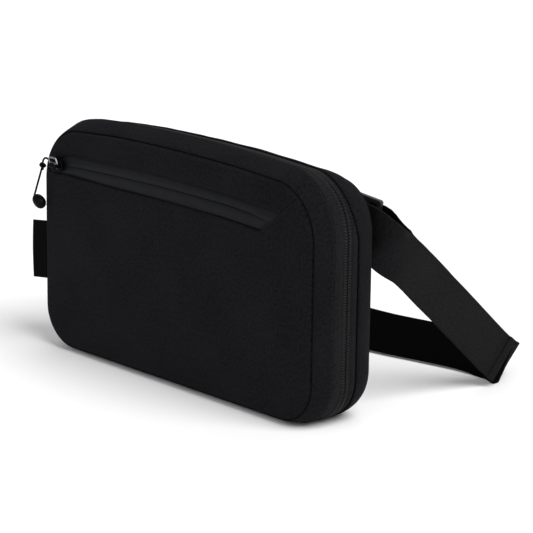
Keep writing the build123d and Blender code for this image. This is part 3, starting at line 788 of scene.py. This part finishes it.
band_stitches("front_fold_stitches", -12.7, 5.45, 2.6, 1.9, 0.42, "front_shell", True)
# The rear fold's stitches are wide and near black: thread with painted shade of the seam laid over it
band_stitches(
    "rear_fold_stitches", 7.2, 5.1, 2.1, 1.75, 0.95, "rear_shell", False, SHOULDER_PULL, "seam_thread_painted_shade")
band_stitches("rear_seam_stitches", 22.2, 0.1, 2.2, 1.5, 0.4, "rear_shell", False)

# ------------------------------------------------------------------ back and inner layers


def sides_of(path, corners):
    """The four sides of a closed path, cut at the points nearest to (x, z) corners, for coons()."""
    cuts = [int(np.argmin(np.hypot(path[:, 0] - x, path[:, 1] - z))) for x, z in corners]
    runs = []
    for a, b in zip(cuts, cuts[1:] + cuts[:1]):
        runs.append(path[(a + np.arange((b - a) % len(path) + 1)) % len(path), :2])
    return runs[0], runs[1], runs[2][::-1], runs[3][::-1]


def rounded_box(x0, x1, z0, z1, radius):
    corners = [(x0, z0), (x1, z0), (x1, z1), (x0, z1)]
    return rounded_path(corners, [radius] * 4, 2.0, 1.0)


def grown(outset):
    path = bag_outline(1.5, 1.0)
    points = place(path, outset, 0)
    path = path.copy()
    path[:, 0], path[:, 1] = points[:, 0], points[:, 2]
    return path


def corner_points(path, inset):
    low, high = path[:, :2].min(0), path[:, :2].max(0)
    return [
        (low[0] + inset, low[1] + inset), (high[0] - inset, low[1] + inset),
        (high[0] - inset, high[1] - inset * 1.1), (low[0] + inset, high[1] - inset * 1.1)]


def layer(name, slot_name, path, node, face, thick, body, shape, inset=7.0, columns=90, rows=56,
          faces_front=True, bends=False, sim=0.0, seed=1, fill=None, ripple=0.25):
    """A sheet or pad inside a closed path. shape(distance to edge, x, z) is added to the face's depth.
    sim is the pressure that the cloth simulation presses it outwards with."""
    grid_sides = sides_of(path, corner_points(path, inset))
    across, up = edge_spacing(columns, 0.7, 220), edge_spacing(rows, 0.7, 120)
    grid = coons(*(resample(side, s) for side, s in zip(grid_sides, (across, up, across, up))))
    to_edge = distance_to(grid, np.vstack([path[:, :2], path[:1, :2]]))
    sign = -1 if faces_front else 1
    depth = face + sign * shape(to_edge, grid[..., 0], grid[..., 1])
    depth += rim(to_edge, 12.0) * ripple * waves(grid[..., 0], grid[..., 1] * 0, grid[..., 1], 26.0, seed)
    if sim:
        depth = inflate(grid, depth, np.clip(1.5 - to_edge / 3.0, 0, 1), sim, LAYER_SWELL, sign)
    points, faces, uvs = thickened(grid, depth, thick, faces_front)
    points[:, 2] = np.maximum(points[:, 2], LOWEST)
    piece = made(name, slot_name, mesh_of(name, points, faces, uvs), body, [node] if node else [], bends)
    return piece


layer(
    "back_panel_cloth", "shell_fabric", grown(-1.4), "back_panel", 23.2, 1.0, "rear_shell",
    lambda d, x, z: 1.3 * rim(d, 1.6) + 2.3 * rim(d, 26.0), faces_front=False, sim=3.0, seed=11, fill=0.8)


def pad_shape(d, x, z):
    """A crowned pad with two sewn channels."""
    channels = sum(np.exp(-((z - level) / 1.6) ** 2) for level in (53.0, 87.0))
    return 2.9 * rim(d, 5.0) - 1.5 * channels * rim(d, 8.0)


layer(
    "back_pad_mesh", "spacer_mesh", rounded_box(-57, 57, 20, 120, 18), "back_pad", 26.9, 1.2, "rear_shell",
    pad_shape, faces_front=False, sim=2.0, seed=12, fill=0.7, columns=80, rows=70)
layer(
    "back_foam_sheet", "foam", grown(-2.6), "back_foam", 20.6, 2.0, "rear_shell",
    lambda d, x, z: 0.0 * d, columns=50, rows=34, seed=13, ripple=0.1)
layer(
    "back_lining_cloth", "lining", grown(-1.2), "back_lining", 19.7, 0.5, "rear_shell",
    lambda d, x, z: 0.0 * d, columns=60, rows=40, seed=14, ripple=0.3)
layer(
    "front_lining_cloth", "lining", grown(-4.4), "front_lining", -17.6, 0.5, "front_shell",
    lambda d, x, z: 0.0 * d, columns=60, rows=40, seed=15, bends=True, faces_front=False, ripple=0.3)
layer(
    "pocket_pouch_cloth", "lining", rounded_box(-119, 105.5, 18.5, 138, 16), "pocket_pouch", -24.6, 0.6,
    "front_shell",
    lambda d, x, z: -5.6 * rim(d, 7.0), columns=60, rows=40, seed=16, bends=True, ripple=0.2)
layer(
    "slip_pocket_cloth", "lining", rounded_box(-99.5, 99.5, 10.5, 89.5, 5), "slip_pocket", 19.0, 0.5,
    "rear_shell",
    lambda d, x, z: 5.2 * rim(d, 6.0), columns=60, rows=36, seed=17, ripple=0.3, inset=2.0)

# ------------------------------------------------------------------ webbing
LOCK_CENTRE = Vector((96.0, 32.8, 112.5))
LOCK_RUN = Vector((0.94, 0.27, -0.208)).normalized()
LOCK_WIDTH = Vector((0.2, 0.0568, 0.978)).normalized()
LOCK_OUT = LOCK_RUN.cross(LOCK_WIDTH)
BAR_STEP, LEG_OFFSET, LOCK_EXIT, TAB_END = 8.5, 3.0, 13.5, -4.5
WEB_WIDTH, WEB_THICK, LAYER_STEP = 30.0, 1.4, 1.6
RUN_DIR = Vector((-0.02, 0.746, -0.665)).normalized()
RUN_WIDTH = Vector((0, 0.665, 0.746)).normalized()
RUN_END = Vector((122.3, 138.0, 14.6))
RUN_OUT = RUN_DIR.cross(RUN_WIDTH)
RUN_LENGTH = 118.0
FOLD_RADIUS, FOLD_REACH = 4.0, 6.0
FOLD_DIR = Vector((0, 0.90, -0.43))
RIM_LIFT, RIM_THICK = 0.7, 0.6


def lock_point(along, offset):
    return (LOCK_CENTRE + LOCK_RUN * along + LOCK_OUT * offset, LOCK_WIDTH)


def run_point(distance, lift=0.0):
    return (RUN_END - RUN_DIR * distance + RUN_OUT * lift, RUN_WIDTH)


def turn_points(bar, first, last, count=7):
    """Round one bar of the lock, between two angles from LOCK_OUT, in degrees."""
    out = []
    for angle in np.radians(np.linspace(first, last, count)):
        out.append(lock_point(BAR_STEP * bar - LEG_OFFSET * math.sin(angle), LEG_OFFSET * math.cos(angle)))
    return out


def mirrored(stations):
    return [(Vector((-c.x, c.y, c.z)), Vector((-w.x, w.y, w.z))) for c, w in stations]


# Where the webbing turns down beside the bag, and its direction there
BEND = (Vector((121.0, 41.4, 100.9)), Vector((0.16, 0.34, 0.85)))
BEND_RUN = Vector((0.5, 0.5, -0.68))


def lifted_bend(lift):
    return (BEND[0] + BEND_RUN.cross(BEND[1]).normalized() * lift, BEND[1])


def lowered(station, drop):
    """A station moved along its own width, downwards."""
    centre, width = station
    return (centre - width.normalized() * drop, width)


def ribbon(name, stations, slot_name, body, nodes, width=WEB_WIDTH, thick=WEB_THICK, step=1.6, material=None):
    """Webbing along (centre, width direction) stations: flat, with rounded edges and selvedge grooves."""
    raw_centres = [np.array(c) for c, _ in stations]
    raw_widths = [np.array(w.normalized()) for _, w in stations]
    knots = lengths(raw_centres)
    count = max(8, int(knots[-1] / step))
    before_first, after_last = 2 * raw_centres[0] - raw_centres[1], 2 * raw_centres[-1] - raw_centres[-2]
    padded_centres = np.vstack([before_first, raw_centres, after_last])
    centres, widths = [], []
    for s in np.linspace(0, knots[-1] - 1e-6, count):
        i = int(np.searchsorted(knots, s, side="right") - 1)
        t = (s - knots[i]) / (knots[i + 1] - knots[i])
        a, b, c, d = padded_centres[i:i + 4]
        span = knots[i + 1] - knots[i]
        before = knots[i] - knots[i - 1] if i else span
        after = knots[i + 2] - knots[i + 1] if i + 2 < len(knots) else span
        slope_b = ((b - a) / before + (c - b) / span) / 2 * span
        slope_c = ((c - b) / span + (d - c) / after) / 2 * span
        h = (2 * t**3 - 3 * t**2 + 1, t**3 - 2 * t**2 + t, -2 * t**3 + 3 * t**2, t**3 - t**2)
        centres.append(h[0] * b + h[1] * slope_b + h[2] * c + h[3] * slope_c)
        ease = t * t * (3 - 2 * t)
        widths.append(raw_widths[i] * (1 - ease) + raw_widths[i + 1] * ease)
    centres, widths = np.array(centres), np.array(widths)
    tangents = np.gradient(centres, axis=0)
    tangents /= np.linalg.norm(tangents, axis=1)[:, None]
    widths -= (widths * tangents).sum(1)[:, None] * tangents
    widths /= np.linalg.norm(widths, axis=1)[:, None]
    outs = np.cross(tangents, widths)
    half, t = width / 2, thick / 2
    section = [
        (-half, -t * 0.35), (-half + 0.25, -t * 0.85), (-half + 1.3, -t), (-half + 2.1, -t * 0.86),
        (-half + 3, -t), (0, -t), (half - 3, -t), (half - 2.1, -t * 0.86), (half - 1.3, -t),
        (half - 0.25, -t * 0.85), (half, -t * 0.35)]
    section += [(a, -b) for a, b in reversed(section)]
    rings = np.stack([centres + widths * a + outs * b for a, b in section], axis=1)
    rings[..., 2] = np.maximum(rings[..., 2], LOWEST)
    sides = len(section)
    faces = [f[::-1] for f in tube_faces(count, sides)] + caps(count, sides)
    along = lengths(centres)
    uvs = np.stack([
        np.tile([a for a, _ in section], count), np.repeat(along, sides)], axis=1) * MM
    mesh = mesh_of(name, rings.reshape(-1, 3), faces, uvs)
    return made(name, slot_name, mesh, body, nodes, material=material)


def fold_point(turn, lift=0.0):
    """A station on the half-round fold at the strap's far end, raised off the webbing by lift."""
    angle, radius = math.radians(turn), FOLD_RADIUS + lift
    sideways = Vector((radius * math.cos(angle) - FOLD_RADIUS, 0, 0))
    return (RUN_END + sideways + FOLD_DIR * (FOLD_REACH + radius * math.sin(angle)), RUN_WIDTH)


fold = [fold_point(turn) for turn in (15, 30, 45, 60, 75, 90)]
UPRIGHT = Vector((0, 0, 1))
behind = [
    (Vector((92, 147.8, 11.6)), Vector((0, 0.72, 0.69))),
    (Vector((62, 143.2, 11.6)), Vector((0, 0.75, 0.66))), (Vector((22, 135.4, 11.8)), Vector((0, 0.74, 0.67)))]
run_stations = [run_point(d) for d in (90, 60, 30, 12, 0)] + [(RUN_END + FOLD_DIR * FOLD_REACH, RUN_WIDTH)]
run_stations = [lowered(run_point(RUN_LENGTH), 1.0)] + run_stations
# Under the lock's outer bar, then straight on, longer at the right than at the left
inner_turn = turn_points(1, 90, 170, 5) + [lock_point(LOCK_EXIT, -LEG_OFFSET)]
rest_of_path = [BEND] + run_stations + fold + behind
main_path = inner_turn + [lock_point(20, -LEG_OFFSET)] + rest_of_path
left_path = mirrored(inner_turn + [lock_point(16, -LEG_OFFSET)] + rest_of_path)
strap_nodes = [
    "strap_lock_turn", "strap_right_run", "strap_right_fold", "strap_back_run", "strap_left_fold",
    "strap_left_run", "strap_ring_turn"]
# The main webbing is coloured with painted shade, so a thin overlay in the webbing's own lighter colour stands for
# the fold's lit outer face
rim_path = [fold_point(turn, RIM_LIFT) for turn in (5, 25, 45, 65, 85, 105, 120)]
ribbon("strap_fold_rim", rim_path, "webbing", "strap", ["strap_right_fold"], thick=RIM_THICK, step=0.6)
# The main strap takes the darker webbing copy: painted shade on its back run and under the tail
ribbon("strap_webbing", main_path + left_path[::-1], "webbing", "strap", strap_nodes, material="webbing_painted_shade")
# The tail twists a little as it leaves the lock: its width direction there and at the bend
LEANING = (Vector((0.32, -0.02, 0.93)), Vector((0.24, 0.37, 0.79)))
tail_path = turn_points(1, 90, 10, 5) + [
    lock_point(LOCK_EXIT, LEG_OFFSET), (lock_point(20, LEG_OFFSET + 1.2)[0], LEANING[0]),
    (lowered(lifted_bend(LAYER_STEP + 2.4), 2.0)[0], LEANING[1]),
    lowered(run_point(RUN_LENGTH, LAYER_STEP + 0.6), 2.0),
    lowered(run_point(90, LAYER_STEP), 1.1), lowered(run_point(60, LAYER_STEP), 0.3),
    run_point(30, LAYER_STEP), run_point(12, LAYER_STEP + 0.5), run_point(1, LAYER_STEP + 1.6)]
ribbon("strap_tail_webbing", tail_path, "webbing", "strap", ["strap_tail"])
hem_path = [run_point(d, 2 * LAYER_STEP + lift) for d, lift in ((5.5, 0.5), (4, 1.0), (2.5, 1.3), (0.8, 1.4))]
ribbon("strap_hem_webbing", hem_path, "webbing", "strap", ["strap_tail_hem"])
sewn_path = turn_points(1, 90, 10, 5) + [lock_point(LOCK_EXIT, LEG_OFFSET), lifted_bend(LAYER_STEP)]
sewn_path += [run_point(d, LAYER_STEP) for d in (RUN_LENGTH, 104, 90)]
ribbon("strap_sewn_webbing", mirrored(sewn_path)[::-1], "webbing", "strap", ["strap_sewn_end"])
tab_turn = [
    lock_point(LEG_OFFSET * math.sin(a), -LEG_OFFSET * math.cos(a))
    for a in np.radians([0, 30, 60, 90, 120, 150, 180])]
tab_path = [lock_point(TAB_END, -LEG_OFFSET)] + tab_turn + [lock_point(TAB_END, LEG_OFFSET)]
ribbon("right_tab_webbing", tab_path, "webbing", "strap", ["right_tab_loop"], step=1.0)
ribbon("left_tab_webbing", mirrored(tab_path)[::-1], "webbing", "strap", ["left_tab_loop"], step=1.0)


PATCH_TILT, PATCH_X, PATCH_Y, PATCH_Z = 12, 75.0, 27.75, 112.5


def add_patch(side, name, node):
    """The flat end of a tab, sewn on the back panel with a crossed box of stitches."""
    tilt = math.radians(-PATCH_TILT * side)
    run = Vector((math.cos(tilt), 0, math.sin(tilt)))
    width = Vector((-math.sin(tilt), 0, math.cos(tilt)))
    centre = Vector((PATCH_X * side, PATCH_Y, PATCH_Z))
    stations = [(centre + run * s, width) for s in (-14, -7, 0, 7, 14)]
    ribbon(name, stations, "webbing", "rear_shell", [node], step=1.2)
    box = [(-11, -12), (11, -12), (11, 12), (-11, 12), (-11, -12), (11, 12), (11, -12), (-11, 12)]
    points = [centre + run * a + width * b + Vector((0, 0.75, 0)) for a, b in box]
    dense = resample([tuple(p) for p in points], np.linspace(0, 1, 160))
    facing = np.tile([0, 1, 0], (len(dense), 1))
    stitch_row(name + "_stitches", dense, facing, 2.4, 1.8, 0.45, "rear_shell", False)


add_patch(1, "right_patch_webbing", "right_tab_patch")
add_patch(-1, "left_patch_webbing", "left_tab_patch")

# ------------------------------------------------------------------ slip pocket hem, label
ribbon(
    "slip_hem_tape",
    [(Vector((x, 13.7, 86.0)), UPRIGHT) for x in (-99, -50, 0, 50, 99)],
    "lining", "rear_shell", ["slip_pocket_hem"], width=8.0, thick=0.8, material="binding_tape")


LABEL_SAG = 1.8


def add_label():
    """A satin tab folded in half and sewn into the left of the front seam, without lettering."""
    low, high = (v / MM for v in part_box("side_label"))
    rows, reach = 24, high.x - low.x - 0.6
    profile = []
    for a in np.linspace(0, 1, 9):
        profile.append((high.x - reach * a, -0.38))
    for a in np.radians(np.linspace(-60, 60, 5)):
        profile.append((low.x + 0.52 - 0.42 * math.cos(a), 0.42 * math.sin(a)))
    for a in np.linspace(1, 0, 9):
        profile.append((high.x - reach * a, 0.38))
    points, sides = [], len(profile)
    middle = (low.y + high.y) / 2
    for z in np.linspace(low.z, high.z, rows):
        for x, y in profile:
            away = (high.x - x) / reach
            bend = 0.5 * away**2 * math.sin((z - low.z) / (high.z - low.z) * math.pi)
            points.append((x, middle + y * (0.8 + 0.2 * away) - bend, z - LABEL_SAG * away))
    faces = tube_faces(rows, sides) + caps(rows, sides)
    uvs = [(x * MM, z * MM) for x, _, z in points]
    mesh = mesh_of("side_label_tab", points, faces, uvs)
    made("side_label_tab", "label", mesh, "front_shell", ["side_label"], bends=True)


add_label()

# ------------------------------------------------------------------ pull cord
CORD_Y = -29.4
CORD_ROUTE = [
    (-114.7, CORD_Y, 124.1), (-118.0, CORD_Y, 125.3), (-120.9, CORD_Y - 0.1, 123.0), (-121.4, CORD_Y - 0.2, 119.2),
    (-122.6, CORD_Y - 0.6, 115.2), (-124.6, CORD_Y - 1.8, 107.4), (-126.7, CORD_Y - 3.0, 99.2)]
CORD_D = 1.3
KNOT_SHIFT, KNOT_SIZE = np.array([0.3, 0.0, 0.0]), 0.75


def add_cord():
    data = bpy.data.curves.new("pull_cord_line", "CURVE")
    data.dimensions = "3D"
    data.bevel_depth = CORD_D / 2 * MM
    data.bevel_resolution = 3
    data.resolution_u = 16
    data.use_fill_caps = True
    spline = data.splines.new("NURBS")
    spline.points.add(len(CORD_ROUTE) - 1)
    for point, co in zip(spline.points, CORD_ROUTE):
        point.co = (*(c * MM for c in co), 1)
    spline.order_u = 3
    spline.use_endpoint_u = True
    cord = bpy.data.objects.new("pull_cord_braid", data)
    scene.collection.objects.link(cord)
    data.materials.append(MATERIALS["cord"])
    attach(cord, "pull_cord")
    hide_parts("pull_cord")
    return cord


def revolved(name, slot_name, stations, centre, body, nodes, sides=28, ribs=0, rib=0.0, lean=None):
    """A turned piece about the vertical, or about lean, through centre, from (height, radius) stations."""
    points = []
    turn = Vector((0, 0, 1)).rotation_difference(lean or Vector((0, 0, 1)))
    for z, radius in stations:
        for k in range(sides):
            a = 2 * math.pi * k / sides
            r = radius * (1 + rib * math.cos(ribs * a))
            points.append(Vector(centre) + turn @ Vector((r * math.cos(a), r * math.sin(a), z)))
    rings = len(stations)
    faces = [f[::-1] for f in tube_faces(rings, sides) + caps(rings, sides)]
    return made(name, slot_name, mesh_of(name, points, faces), body, nodes)


def wire(line, up, thick, wide, sides):
    """Ring points round a closed line: wide is the half size across it, thick the half size along up."""
    tangents = np.roll(line, -1, 0) - np.roll(line, 1, 0)
    tangents /= np.linalg.norm(tangents, axis=1)[:, None]
    points = []
    for p, tangent in zip(line, tangents):
        side = np.cross(tangent, up)
        side /= np.linalg.norm(side)
        other = np.cross(tangent, side)
        for a in around(sides):
            points.append(p + side * math.cos(a) * wide + other * math.sin(a) * thick)
    return points


def add_knot():
    """An overhand knot of the same cord: a tube along a trefoil, pulled tight."""
    centre = np.array(CORD_ROUTE[3]) + KNOT_SHIFT
    t = around(72)
    line = np.stack([
        (np.sin(t) + 2 * np.sin(2 * t)) * KNOT_SIZE, np.sin(3 * t) * 0.62,
        (np.cos(t) - 2 * np.cos(2 * t)) * KNOT_SIZE], axis=1) + centre
    points = wire(line, (0.3, 1.0, 0.2), CORD_D / 2, CORD_D / 2, 10)
    faces = tube_faces(len(t), 10, True, True)
    mesh = mesh_of("pull_knot_loops", points, faces)
    return made("pull_knot_loops", "cord", mesh, "pull_cord", ["pull_knot"])


def superellipse(half_length, half_width, taper, count=40):
    """Points of a rounded plate outline, narrower towards +x by its taper."""
    t = around(count)
    x = np.sign(np.cos(t)) * np.abs(np.cos(t)) ** 0.6
    y = np.sign(np.sin(t)) * np.abs(np.sin(t)) ** 0.6 * (1 - taper * x)
    return np.stack([x * half_length, y * half_width], axis=1)


def add_slider(name, node, origin, axes, plate, inner):
    """A zip slider in its own (along, across, out) axes: domed outer plate, neck, inner plate, hooped bridge."""
    points, faces = [], []

    def stack(half_length, half_width, taper, levels):
        outline = superellipse(half_length, half_width, taper)
        first, rings, sides = len(points), len(levels), len(outline)
        for out, size in levels:
            points.extend((x * size, y * size, out) for x, y in outline)
        faces.extend(tube_faces(rings, sides, first=first) + caps(rings, sides, first))

    stack(6.1, 4.6, 0.16, [
        (plate, 0.9), (plate + 0.15, 0.98), (plate + 0.6, 1.0), (plate + 0.95, 0.95), (plate + 1.15, 0.84),
        (plate + 1.25, 0.5)])
    stack(3.0, 0.2, 0.0, [(inner + 0.5, 1.0), (0.3, 1.0)])
    stack(3.0, 1.9, 0.0, [(0.3, 1.0), (plate + 0.1, 1.0)])
    stack(4.4, 3.4, 0.1, [(inner, 0.9), (inner + 0.2, 1.0), (inner + 0.8, 1.0), (inner + 1.0, 0.9)])
    base, top = plate + 0.9, plate + 3.85
    hoop = [(-4.0, base), (-4.05, base + 1.4), (-3.8, top - 0.6), (-3.1, top - 0.1), (-1.5, top), (1.5, top),
            (3.1, top - 0.1), (3.8, top - 0.6), (4.05, base + 1.4), (4.0, base)]
    hoop = smooth_line(hoop, 36)
    tangents = np.gradient(hoop, axis=0)
    tangents /= np.linalg.norm(tangents, axis=1)[:, None]
    first = len(points)
    for (x, out), (run_x, run_out) in zip(hoop, tangents):
        for a in around(12):
            rise = 0.42 * math.sin(a)
            points.append((x - run_out * rise, 1.3 * math.cos(a), out + run_x * rise))
    faces += tube_faces(36, 12, first=first)
    placed = np.array(points) @ np.array(axes, float) + origin
    mesh = mesh_of(name, placed, faces)
    made(name, "zip_metal", mesh, node, [node], material="slider_paint")


def add_ring(name, node, body, origin, axes, length, half_width, shift):
    """A wire pull ring: an oval from its pin at origin, (along, across, out) axes, length to its far end."""
    radius = 0.62
    bend = half_width - radius
    straight = np.linspace(radius * 0.6, length - half_width, 12)
    arc = np.radians(np.linspace(90, -90, 16))
    near = np.radians(np.linspace(-90, -270, 12))
    line = [(x, bend) for x in straight]
    line += [(length - half_width + bend * math.cos(a), bend * math.sin(a)) for a in arc[1:-1]]
    line += [(x, -bend) for x in straight[::-1]]
    line += [(radius * 0.6 + 0.8 * math.cos(a), bend * math.sin(a)) for a in near[1:-1]]
    line = np.array([(x, y + shift * min(1, max(0, x / RING_RISE)), 0) for x, y in line])
    points = np.array(wire(line, (0, 0, 1.0), radius, radius, 10)) @ np.array(axes, float) + origin
    made(name, "zip_metal", mesh_of(name, points, tube_faces(len(line), 10, True, True)), body, [node])


RING_RISE, RING_LENGTH = 1.7, 9.1
POCKET_AXES = ((1, 0, 0), (0, 0, 1), (0, -1, 0))
MAIN_AXES = ((0, 0, 1), (0, 1, 0), (-1, 0, 0))
pocket_low, pocket_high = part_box("pocket_slider")
main_low, main_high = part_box("main_slider")
pocket_zip_z = (pocket_low.z + pocket_high.z) / 2 / MM
POCKET_ORIGIN = ((pocket_low.x + pocket_high.x) / 2 / MM, TAPE_Y, pocket_zip_z)
MAIN_ORIGIN = (main_low.x / MM + 5.4, ZIP_CENTRE, (main_low.z + main_high.z) / 2 / MM)
add_slider("pocket_slider_body", "pocket_slider", POCKET_ORIGIN, POCKET_AXES, 1.7, TAPE_Y - pocket_high.y / MM)
add_slider("main_slider_body", "main_slider", MAIN_ORIGIN, MAIN_AXES, 1.2, MAIN_ORIGIN[0] - main_high.x / MM)
pocket_ring_pin = (POCKET_ORIGIN[0] + 2.5, -29.4, pocket_zip_z)
main_ring_pin = (MAIN_ORIGIN[0] - 3.4, ZIP_CENTRE, MAIN_ORIGIN[2] + 2.5)
add_ring(
    "pocket_ring_wire", "pocket_pull_ring", "pocket_pull", pocket_ring_pin,
    ((-1, 0, 0), (0, 0, 1), (0, -1, 0)), RING_LENGTH, 2.3, 3.0)
add_ring(
    "main_ring_wire", "main_pull_ring", "main_pull", main_ring_pin,
    ((0, 0, -1), (0, 1, 0), (-1, 0, 0)), RING_LENGTH, 3.0, 0.0)
cord = add_cord()
knot = add_knot()
END = [
    (0.0, 0.7), (-0.25, 1.25), (-0.95, 1.95), (-1.75, 2.7), (-2.7, 3.2), (-4.1, 3.65), (-5.8, 3.85), (-7.3, 3.8),
    (-8.9, 3.4), (-10.3, 2.5), (-11.2, 1.35), (-11.6, 0.5)]
bean = revolved(
    "pull_end_bean", "pull_rubber", END, CORD_ROUTE[-1], "pull_cord", ["pull_end"], ribs=2, rib=0.04,
    lean=Vector((-0.88, 0.0, 0.47)))
